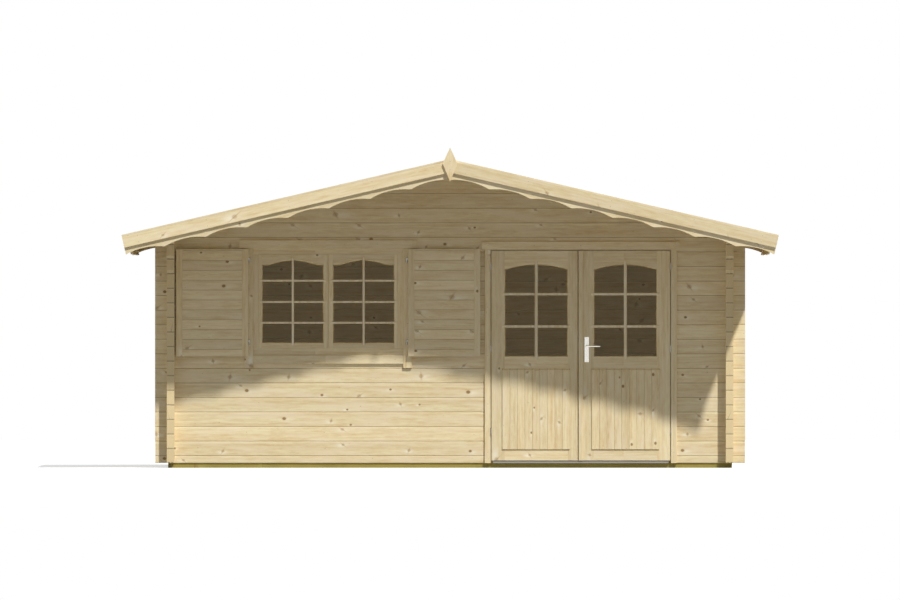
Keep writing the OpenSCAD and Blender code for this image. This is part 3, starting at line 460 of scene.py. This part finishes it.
def metal(name, colour, roughness, brushed):
    """Plain metal with a fine grain: noise drawn out along one axis moves the roughness and the bump."""
    material = bpy.data.materials.new(name)
    material.use_nodes = True
    tree = material.node_tree
    shader = tree.nodes["Principled BSDF"]
    shader.inputs["Base Color"].default_value = (*colour, 1.0)
    shader.inputs["Metallic"].default_value = 1.0
    where = add(tree, "TexCoord", {}, {}, "Object")
    drawn = add(tree, "Mapping", {}, {"Vector": where, "Scale": brushed})
    grain = add(tree, "TexNoise", {}, {"Vector": drawn, "Scale": 1.0, "Detail": 3.0})
    tree.links.new(calc(tree, "MULTIPLY_ADD", grain, 0.2, roughness - 0.1), shader.inputs["Roughness"])
    bump = add(tree, "Bump", {}, {"Strength": 0.15, "Distance": 0.0002, "Height": grain})
    tree.links.new(bump, shader.inputs["Normal"])
    return material


def on_slope(u, v, y, side):
    """Points u along and v off the underside of the boards of one side of the roof."""
    c, s = math.cos(roof_pitch), math.sin(roof_pitch)
    u, v, y = np.broadcast_arrays(np.asarray(u, float), np.asarray(v, float), np.asarray(y, float))
    return np.stack([side * (u * c + v * s), y, ridge_line - u * s + v * c], -1)


nail_metal = metal("nail_metal", (0.46, 0.45, 0.43), 0.42, (300, 300, 300))
purlin_line = np.array([0.022, 0.758, 1.537, 2.316])
nail_inset = 0.024
nail_head = (0.0042, 0.0009, 8)
first_nail = deck_low.y + np.arange(int((deck_high.y - deck_low.y) / deck_board)) * deck_board
nail_y = np.sort(np.concatenate([first_nail + nail_inset, first_nail + deck_board - nail_inset]))
nail_u, nail_rows = np.meshgrid(purlin_line, nail_y)
for name, side in (("roof_nails_left", -1), ("roof_nails_right", 1)):
    up = (side * math.sin(roof_pitch), 0.0, math.cos(roof_pitch))
    spots = on_slope(nail_u.ravel(), deck_thickness, nail_rows.ravel(), side)
    heads(name, "root", [(spots, up, (0.0, 1.0, 0.0))], *nail_head, nail_metal)
below_slope = -0.2
one_board = 1.0
finish(["eave_boards"], timber("eave_boards", "y", "v", "u", (0, below_slope, 0), one_board, 35.0, heart="outside",
                               ridge=ridge_line))

# ---- Bargeboards --------------------------------------------------------------------------
# Planed boards on the ends of the roof: a scalloped board, a plain one over it, a strip on top
# and a diamond over the joint at the apex, all screwed on.
for name, seed in (("bargeboards_front", 41.0), ("bargeboards_back", 42.0),
                   ("scalloped_boards_front", 43.0), ("scalloped_boards_back", 44.0)):
    finish([name], timber(name, "u", "v", "y", (0, below_slope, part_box(name)[0].y), one_board, seed, heart="outside",
                          ridge=ridge_line))
strip_step = 3.0
finish(["verge_strips"], timber("verge_strips", "u", "y", "v", (0, -strip_step, 0), strip_step, 45.0,
                                heart="outside", ridge=ridge_line))


def both_sides(u, v, y):
    """The same points on the right and the left side of the roof."""
    return np.concatenate([on_slope(u, v, y, 1).reshape(-1, 3), on_slope(u, v, y, -1).reshape(-1, 3)])


screw_metal = metal("screw_metal", (0.50, 0.46, 0.36), 0.38, (300, 300, 300))
screw_head = (0.0042, 0.0008, 10)
barge_screw_head = (0.0045, 0.0008, 10)
barge_screw_u = np.array([0.16, 0.74, 1.53, 2.31, 2.96])
barge_screw_v = np.array([-0.052, 0.006])
barge_u, barge_v = (grid.ravel() for grid in np.meshgrid(barge_screw_u, barge_screw_v))
tip_u = barge_screw_u[1:] + 0.03
tip_v = -0.1
barge_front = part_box("bargeboards_front")[0].y
barge_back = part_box("bargeboards_back")[1].y
tip_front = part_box("scalloped_boards_front")[0].y
tip_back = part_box("scalloped_boards_back")[1].y
finial_low, finial_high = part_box("finials")
finial_below_middle = 0.168
finial_middle = finial_low.z + finial_below_middle
finial_spots = np.array([[0.0, 0.0, finial_middle - 0.055], [0.0, 0.0, finial_middle + 0.02]])
heads("bargeboard_screws", "root", [
    (both_sides(barge_u, barge_v, barge_front), (0, -1, 0), (1, 0, 0)),
    (both_sides(barge_u, barge_v, barge_back), (0, 1, 0), (1, 0, 0)),
    (both_sides(tip_u, tip_v, tip_front), (0, -1, 0), (1, 0, 0)),
    (both_sides(tip_u, tip_v, tip_back), (0, 1, 0), (1, 0, 0)),
    (finial_spots + (0.0, finial_low.y, 0.0), (0, -1, 0), (1, 0, 0)),
    (finial_spots + (0.0, finial_high.y, 0.0), (0, 1, 0), (1, 0, 0)),
], *barge_screw_head, screw_metal)
strip_top = 0.045
strip_inset = 0.032
strip_rows = [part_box("verge_strips")[0].y + strip_inset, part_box("verge_strips")[1].y - strip_inset]
strip_u, strip_y = (grid.ravel() for grid in np.meshgrid(np.linspace(0.14, 2.98, 7), strip_rows))
eave_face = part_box("eave_boards")[1].x
eave_u = eave_face / math.cos(roof_pitch) - deck_thickness * math.tan(roof_pitch)
eave_y, eave_v = (grid.ravel() for grid in np.meshgrid(np.linspace(-2.52, 2.52, 9), [-0.1, -0.025]))
groups = []
for side in (-1, 1):
    up = (side * math.sin(roof_pitch), 0.0, math.cos(roof_pitch))
    out = (side * math.cos(roof_pitch), 0.0, -math.sin(roof_pitch))
    groups.append((on_slope(strip_u, strip_top, strip_y, side), up, (0, 1, 0)))
    groups.append((on_slope(eave_u, eave_v, eave_y, side), out, (0, 1, 0)))
heads("eave_and_verge_screws", "root", groups, *screw_head, screw_metal)
finish(["finials"], timber("finials", "z", "x", "y", (0, -one_board / 2, 0), one_board, 46.0, heart="outside",
                           knots=0.0))

# ---- Window -------------------------------------------------------------------------------
# A frame let into the wall, two sashes with arched glass, casings inside and out, all planed spruce.
frame_low, frame_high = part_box("window_frame")
sash_low, sash_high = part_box("window_sashes")
window_x = (sash_low.x + sash_high.x) / 2
casing_low, casing_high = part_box("window_casing")
sash_gap = 0.0005
frame_rails = (
    (frame_low.x, frame_high.x, frame_low.z, sash_low.z - sash_gap),
    (frame_low.x, frame_high.x, sash_high.z + sash_gap, frame_high.z),
)
finish(["window_frame"], timber("window_frame", "z", "x", "y", (0, frame_low.x, frame_low.y), 0.6, 51.0,
                                rails=frame_rails, heart="outside", knots=0.7))
stile_in, stile_out = 0.043, 0.614
sash_rails = tuple(
    (window_x + side * (stile_in + stile_out) / 2 - (stile_out - stile_in) / 2,
     window_x + side * (stile_in + stile_out) / 2 + (stile_out - stile_in) / 2, sash_low.z, sash_high.z)
    for side in (-1, 1)
)
finish(["window_sashes"], timber("window_sashes", "z", "x", "y", (0, sash_low.x, sash_low.y), 0.646, 53.0,
                                 rails=sash_rails, heart="outside", knots=0.5))
casing_inner = 0.695
casing_head_reveal = 0.054
casing_rails = (
    (casing_low.x, casing_high.x, sash_high.z + casing_head_reveal, casing_high.z),
    (window_x - casing_inner, window_x + casing_inner, casing_low.z, sash_low.z),
)
finish(["window_casing"], timber("window_casing", "z", "x", "y", (0, casing_low.x, casing_low.y), 0.8, 55.0,
                                 rails=casing_rails, heart="outside", knots=0.8))

# Glass in a warm tint; its specular tint turns what it reflects brown, a painted reflection of warm surroundings.
pane_colour = (0.82, 0.76, 0.64, 1.0)
painted_reflection_tint = (0.80, 0.64, 0.40, 1.0)
glass = bpy.data.materials.new("pane_glass")
glass.use_nodes = True
pane = glass.node_tree.nodes["Principled BSDF"]
pane.inputs["Base Color"].default_value = pane_colour
pane.inputs["Specular Tint"].default_value = painted_reflection_tint
pane.inputs["Roughness"].default_value = 0.0
pane.inputs["IOR"].default_value = 1.5
pane.inputs["Transmission Weight"].default_value = 1.0
finish(["window_glass", "door_left_glass", "door_right_glass"], glass)


def carried(profile, path, first, second):
    """A profile carried along a path. Each ring is point + across * first + out * second, with one first
    and one second direction per point; the two ends are closed. Returns vertices and faces."""
    profile, path = np.asarray(profile, float), np.asarray(path, float)
    first = np.broadcast_to(np.asarray(first, float), path.shape)
    second = np.broadcast_to(np.asarray(second, float), path.shape)
    rings = path[:, None] + profile[None, :, :1] * first[:, None] + profile[None, :, 1:] * second[:, None]
    count, steps = len(profile), len(path)
    k = np.arange(count)
    around = np.stack([k, (k + 1) % count, (k + 1) % count + count, k + count], 1)
    faces = (np.arange(steps - 1)[:, None, None] * count + around[None]).reshape(-1, 4).tolist()
    faces += [k[::-1].tolist(), (k + (steps - 1) * count).tolist()]
    return rings.reshape(-1, 3), faces


def joined(parts):
    """Several surfaces as one: their points in a row, with each face's numbers moved on."""
    vertices, faces, base = [], [], 0
    for points, part in parts:
        vertices.append(points)
        faces += [[base + index for index in face] for face in part]
        base += len(points)
    return np.concatenate(vertices), faces


def bar_profile(width, thickness):
    """Flat at the back, with the two front edges rounded over about a quarter of the width each."""
    round_r = width * 0.26
    turn = np.linspace(0.0, math.pi / 2, 5)
    right = np.stack([width / 2 - round_r + round_r * np.cos(turn), thickness - round_r + round_r * np.sin(turn)], 1)
    left = np.stack([-right[::-1, 0], right[::-1, 1]], 1)
    return np.concatenate([[[width / 2, 0.0]], right, left, [[-width / 2, 0.0]]])[::-1]


def bar_grid(centre_x, half, bottom, top, levels, face_y, upright, level_height, thickness):
    """One upright over the whole glass and level bars that butt against it from both sides."""
    profile = bar_profile(upright, thickness)
    parts = [carried(profile, [(centre_x, face_y, bottom), (centre_x, face_y, top)], (1, 0, 0), (0, -1, 0))]
    set_back, butt_gap = 0.0006, 0.0002
    profile = bar_profile(level_height, thickness - set_back)
    for level in levels:
        for side in (-1, 1):
            ends = [centre_x + side * (upright / 2 + butt_gap), centre_x + side * half]
            path = [(x, face_y, level) for x in sorted(ends)]
            parts.append(carried(profile, path, (0, 0, -1), (0, -1, 0)))
    return parts


bar_light = (0.93, 0.83, 0.575)
window_bar_width, window_bar_height, window_bar_thickness = 0.021, 0.019, 0.009
sash_rail = 0.046
window_glass_bottom = sash_low.z + sash_rail
window_levels = window_glass_bottom + np.array([0.190, 0.383, 0.580])
window_bar_top = 0.793
bar_over = 0.019
grids = []
for side in (-1, 1):
    middle = window_x + side * (stile_in + stile_out) / 2
    grids += bar_grid(middle, (stile_out - stile_in) / 2 + bar_over, window_glass_bottom - bar_over,
                      window_glass_bottom + window_bar_top, window_levels, sash_low.y, window_bar_width,
                      window_bar_height, window_bar_thickness)
bar_step = 0.6
bar_wood = timber("window_bars", "z", "x", "y", (0, window_x - bar_step, sash_low.y), bar_step, 57.0,
                  heart="outside", knots=0.0, light=bar_light)
mesh_piece("window_bars", "root", bar_wood, "joinery_timber", *joined(grids))


def arch_height(x, half, rise, foot):
    """Height of a low arch over its springing at x from its middle: a circle over the crown that turns
    back into level shoulders on a smaller circle; foot is the share of the smaller radius."""
    turn = 2 * math.atan(rise / half)
    radius = half / math.sin(turn)
    crown, small = radius * (1 - foot), radius * foot
    over = rise - crown + np.sqrt(np.maximum(crown ** 2 - x ** 2, 0.0))
    under = small - np.sqrt(np.maximum(small ** 2 - (half - np.abs(x)) ** 2, 0.0))
    return np.where(np.abs(x) < crown * math.sin(turn), over, under)


def arched_outline(x0, x1, bottom, side, rise, shoulder, foot):
    """Outline of a pane with straight sides and a low arch, anticlockwise from the bottom left. A shoulder
    is a level step between each side and the arch."""
    middle, half = (x0 + x1) / 2, (x1 - x0) / 2 - shoulder
    x = np.linspace(half, -half, 33)
    arch = np.stack([middle + x, bottom + side + arch_height(x, half, rise, foot)], 1)
    foot_line = [[x0, bottom], [x1, bottom]]
    if shoulder > 0:
        return np.concatenate([foot_line, [[x1, bottom + side]], arch, [[x0, bottom + side]]])
    return np.concatenate([foot_line, arch])


def bead(outline, profile, face_y, out):
    """A profile carried round a closed outline in X and Z. Each corner point moves inwards along the mitre
    of its two sides, and by out times the profile's second number along Y."""
    before = outline - np.roll(outline, 1, 0)
    after = np.roll(outline, -1, 0) - outline
    before /= np.linalg.norm(before, axis=1)[:, None]
    after /= np.linalg.norm(after, axis=1)[:, None]
    inward = np.stack([-(before + after)[:, 1], (before + after)[:, 0]], 1)
    inward *= 2 / np.sum(inward ** 2, 1)[:, None]
    flat = outline[:, None] + profile[None, :, :1] * inward[:, None]
    depth = np.broadcast_to(face_y + out * profile[:, 1], flat.shape[:2])
    rings = np.stack([flat[..., 0], depth, flat[..., 1]], -1)
    count, steps = len(profile), len(outline)
    i, k = np.meshgrid(np.arange(steps), np.arange(count), indexing="ij")
    j, n = (i + 1) % steps, (k + 1) % count
    faces = np.stack([i * count + k, j * count + k, j * count + n, i * count + n], -1).reshape(-1, 4)
    return rings.reshape(-1, 3), faces.tolist()


bead_profile = np.array([[0.0, 0.0], [0.006, 0.0], [0.0059, 0.004], [0.0052, 0.0068], [0.0038, 0.0086],
                         [0.002, 0.0097], [0.0, 0.010]])
bead_gap = 0.0002
pane_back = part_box("window_glass")[1].y + bead_gap
window_pane_side, window_pane_rise, window_pane_shoulder, window_pane_foot = 0.730, 0.042, 0.036, 0.25
beads = []
for side in (-1, 1):
    x0, x1 = sorted((window_x + side * stile_in, window_x + side * stile_out))
    outline = arched_outline(x0, x1, window_glass_bottom, window_pane_side, window_pane_rise, window_pane_shoulder,
                             window_pane_foot)
    beads.append(bead(outline, bead_profile, pane_back, 1))
bead_wood = timber("glazing_beads", "z", "x", "y", (0, -3.0, -1.6), 6.0, 58.0, heart="outside", knots=0.0)
mesh_piece("window_beads", "root", bead_wood, "joinery_timber", *joined(beads))

side_screw_x = casing_inner + 0.040
side_screw_z = np.linspace(casing_low.z + 0.09, casing_high.z - 0.13, 4)
top_screw_x = np.linspace(-0.76, 0.76, 6)
low_screw_x = np.linspace(-0.62, 0.62, 4)
spots = [[window_x + sign * side_screw_x, 0.0, z] for sign in (-1, 1) for z in side_screw_z]
spots += [[window_x + x, 0.0, casing_high.z - 0.04] for x in top_screw_x]
spots += [[window_x + x, 0.0, casing_low.z + 0.077] for x in low_screw_x]
spots = np.array(spots)
heads("window_casing_screws", "root", [
    (spots + (0, casing_low.y, 0), (0, -1, 0), (1, 0, 0)),
    (spots + (0, casing_high.y, 0), (0, 1, 0), (1, 0, 0)),
], *screw_head, screw_metal)

# ---- Shutters -----------------------------------------------------------------------------
# Two stiles with level boards between them, hung on pins that stand on plates on the casing.
shutter_board = 0.0915
shutter_first = 0.065
for name, seed in (("shutter_left", 61.0), ("shutter_right", 62.0)):
    low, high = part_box(name)
    finish([name], timber(name, "z", "x", "y", (0, low.x, low.y), 0.3, seed, heart="outside", knots=0.8))
    low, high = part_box(name + "_boards")
    first_board = low.z + shutter_first - shutter_board
    finish([name + "_boards"], timber(name + "_boards", "x", "z", "y", (0, first_board, low.y), shutter_board,
                                      seed + 2.0, heart="outside", knots=0.8, seam_dust_and_shade=0.3))

# ---- Door ---------------------------------------------------------------------------------
# Two framed leaves with arched glass over a boarded panel, in a frame of three pieces with stops.
leaf_low, leaf_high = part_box("door_right_leaf")
left_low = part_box("door_left_leaf")[0]
door_x = (left_low.x + leaf_high.x) / 2
jamb_low, jamb_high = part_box("door_frame")
glass_in, glass_out = 0.120, 0.706
for name, sign, seed in (("door_left_leaf", -1, 71.0), ("door_right_leaf", 1, 73.0)):
    low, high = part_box(name)
    inner, outer = door_x + sign * glass_in, door_x + sign * glass_out
    rails = ((min(inner, outer), max(inner, outer), low.z, high.z),)
    finish([name], timber(name, "z", "x", "y", (0, low.x, low.y), 0.42, seed, rails=rails, heart="outside",
                          knots=0.6))
door_bar_width, door_bar_height, door_bar_thickness = 0.028, 0.024, 0.009
leaf_below_glass = 0.962
door_glass_bottom = leaf_low.z + leaf_below_glass
door_levels = door_glass_bottom + np.array([0.281, 0.580])
door_bar_top = 0.888
door_bar_over = 0.024
for name, body, sign in (("door_left_bars", "door_left", -1), ("door_right_bars", "door_right", 1)):
    middle = door_x + sign * (glass_in + glass_out) / 2
    grid = bar_grid(middle, (glass_out - glass_in) / 2 + door_bar_over, door_glass_bottom - door_bar_over,
                    door_glass_bottom + door_bar_top, door_levels, leaf_low.y, door_bar_width, door_bar_height,
                    door_bar_thickness)
    wood = timber(name, "z", "x", "y", (0, middle - bar_step / 2, leaf_low.y), bar_step, 74.0 + sign,
                  heart="outside", knots=0.0, light=bar_light)
    mesh_piece(name, body, wood, "joinery_timber", *joined(grid))
door_pane_side, door_pane_rise, door_pane_foot = 0.812, 0.046, 0.05
for name, body, sign in (("door_left_beads", "door_left", -1), ("door_right_beads", "door_right", 1)):
    x0, x1 = sorted((door_x + sign * glass_in, door_x + sign * glass_out))
    outline = arched_outline(x0, x1, door_glass_bottom, door_pane_side, door_pane_rise, 0.0, door_pane_foot)
    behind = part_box("door_left_glass")[1].y + bead_gap
    mesh_piece(name, body, bead_wood, "joinery_timber", *bead(outline, bead_profile, behind, 1))
panel_board = 0.625 / 9
panel_edge = 0.005
for name, seed in (("door_left_panel", 75.0), ("door_right_panel", 77.0)):
    low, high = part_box(name)
    finish([name], timber(name, "z", "x", "y", (0, low.x + panel_edge, low.y), panel_board, seed, heart="outside",
                          knots=0.7, seam_dust_and_shade=0.2))
frame_step = 0.9
jamb_head, casing_head = 0.03, 0.075
jamb_rails = ((jamb_low.x, jamb_high.x, jamb_high.z - jamb_head, jamb_high.z),)
finish(["door_frame"], timber("door_frame", "z", "x", "y", (0, jamb_low.x, jamb_low.y), frame_step, 79.0,
                              rails=jamb_rails, heart="outside"))
trim_low, trim_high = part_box("door_casing")
trim_rails = ((trim_low.x, trim_high.x, trim_high.z - casing_head, trim_high.z),)
finish(["door_casing"], timber("door_casing", "z", "x", "y", (0, trim_low.x, trim_low.y), frame_step, 81.0,
                               rails=trim_rails, heart="outside"))
trim_screw_x = 0.863
trim_screw_z = np.linspace(trim_low.z + 0.1, trim_high.z - 0.16, 5)
spots = [[door_x + sign * trim_screw_x, 0.0, z] for sign in (-1, 1) for z in trim_screw_z]
spots += [[door_x + x, 0.0, trim_high.z - 0.038] for x in np.linspace(-0.86, 0.86, 5)]
spots = np.array(spots)
heads("door_casing_screws", "root", [
    (spots + (0, trim_low.y, 0), (0, -1, 0), (1, 0, 0)),
    (spots + (0, trim_high.y, 0), (0, 1, 0), (1, 0, 0)),
], *screw_head, screw_metal)
finish(["door_cover_strip"], timber("door_cover_strip", "z", "x", "y", (0, leaf_low.x - 0.3, leaf_low.y), 1.0, 83.0,
                                    heart="outside", knots=0.4))

# ---- Hinges, handles, lock and threshold --------------------------------------------------
# Zinc-plated hinges, a satin lever on long plates screwed to both sides of the right leaf, with a collar
# round its neck and a profile cylinder below it, and a drawn metal threshold.
# The hinges are much darker and browner than zinc plating: painted shade and a painted dark reflection.
hinge_steel = metal("hinge_steel", (0.27, 0.25, 0.21), 0.40, (300, 300, 40))
handle_metal = metal("handle_metal", (0.62, 0.60, 0.55), 0.28, (500, 500, 30))
threshold_metal = metal("threshold_metal", (0.235, 0.222, 0.207), 0.5, (20, 300, 300))
finish(["shutter_left_hinges", "shutter_right_hinges", "shutter_pins", "door_pins", "door_left_hinges",
        "door_right_hinges"], hinge_steel)
finish(["handle_plates", "lever"], handle_metal)
finish(["threshold"], threshold_metal)


def turned(profile, centre, out, sides=28):
    """A closed profile of (radius, offset) pairs turned round a line through centre along Y: each point is
    centre + radius * (cos, sin) in X and Z + offset times out along Y."""
    angle = np.arange(sides) * (2 * math.pi / sides) * out
    profile = np.asarray(profile, float)
    x = centre[0] + profile[None, :, 0] * np.cos(angle)[:, None]
    z = centre[2] + profile[None, :, 0] * np.sin(angle)[:, None]
    y = np.broadcast_to(centre[1] + out * profile[:, 1], x.shape)
    count = len(profile)
    i, k = np.meshgrid(np.arange(sides), np.arange(count), indexing="ij")
    j, n = (i + 1) % sides, (k + 1) % count
    faces = np.stack([i * count + k, i * count + n, j * count + n, j * count + k], -1).reshape(-1, 4)
    return np.stack([x, y, z], -1).reshape(-1, 3), faces.tolist()


plate_low, plate_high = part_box("handle_plates")
plate_x = (plate_low.x + plate_high.x) / 2
spindle_above_plate_foot = 0.146
spindle_z = plate_low.z + spindle_above_plate_foot
collar_profile = [(0.0062, 0.0), (0.0118, 0.0), (0.0118, 0.0025), (0.0105, 0.0040), (0.0070, 0.0046),
                  (0.0062, 0.0046)]
collars = [turned(collar_profile, (plate_x, plate_low.y, spindle_z), -1),
           turned(collar_profile, (plate_x, plate_high.y, spindle_z), 1)]
mesh_piece("lever_collars", "door_right", handle_metal, "handle_metal", *joined(collars))

cylinder_r, cylinder_lobe, cylinder_drop = 0.0085, 0.005, 0.0195
cylinder_below_spindle = 0.073
cylinder_z = spindle_z - cylinder_below_spindle
cylinder_proud, keyway_proud = 0.0022, 0.0024
keyway_share = (0.11, 0.40)
lobe_turn = math.acos(cylinder_lobe / cylinder_r)
top_arc = np.linspace(-lobe_turn, math.pi + lobe_turn, 25)
low_arc = np.linspace(math.pi, 2 * math.pi, 9)
lock_outline = np.concatenate([
    np.stack([cylinder_r * np.cos(top_arc), cylinder_r * np.sin(top_arc)], 1),
    np.stack([cylinder_lobe * np.cos(low_arc), cylinder_lobe * np.sin(low_arc) - cylinder_drop], 1),
])
lock_parts, keyway_parts = [], []
for out, face in ((-1, plate_low.y), (1, plate_high.y)):
    for parts, shape, start, end in ((lock_parts, lock_outline, 0.0, cylinder_proud),
                                     (keyway_parts, lock_outline * keyway_share, cylinder_proud, keyway_proud)):
        path = [(plate_x, face + out * start, cylinder_z), (plate_x, face + out * end, cylinder_z)]
        parts.append(carried(shape[::-out], path, (1, 0, 0), (0, 0, 1)))
mesh_piece("lock_cylinders", "door_right", handle_metal, "handle_metal", *joined(lock_parts))
# Each keyway is a thin near-black sheet just proud of the cylinder's face: painted shade standing for the slot.
keyway_painted_shade = metal("keyway_painted_shade", (0.05, 0.05, 0.05), 0.5, (300, 300, 300))
mesh_piece("keyways", "door_right", keyway_painted_shade, "handle_metal", *joined(keyway_parts))
plate_screw_head = (0.0034, 0.0010, 12)
plate_screw_inset = 0.013
spots = np.array([[plate_x, 0.0, plate_low.z + plate_screw_inset], [plate_x, 0.0, plate_high.z - plate_screw_inset]])
heads("plate_screws", "door_right", [
    (spots + (0, plate_low.y, 0), (0, -1, 0), (1, 0, 0)),
    (spots + (0, plate_high.y, 0), (0, 1, 0), (1, 0, 0)),
], *plate_screw_head, handle_metal)
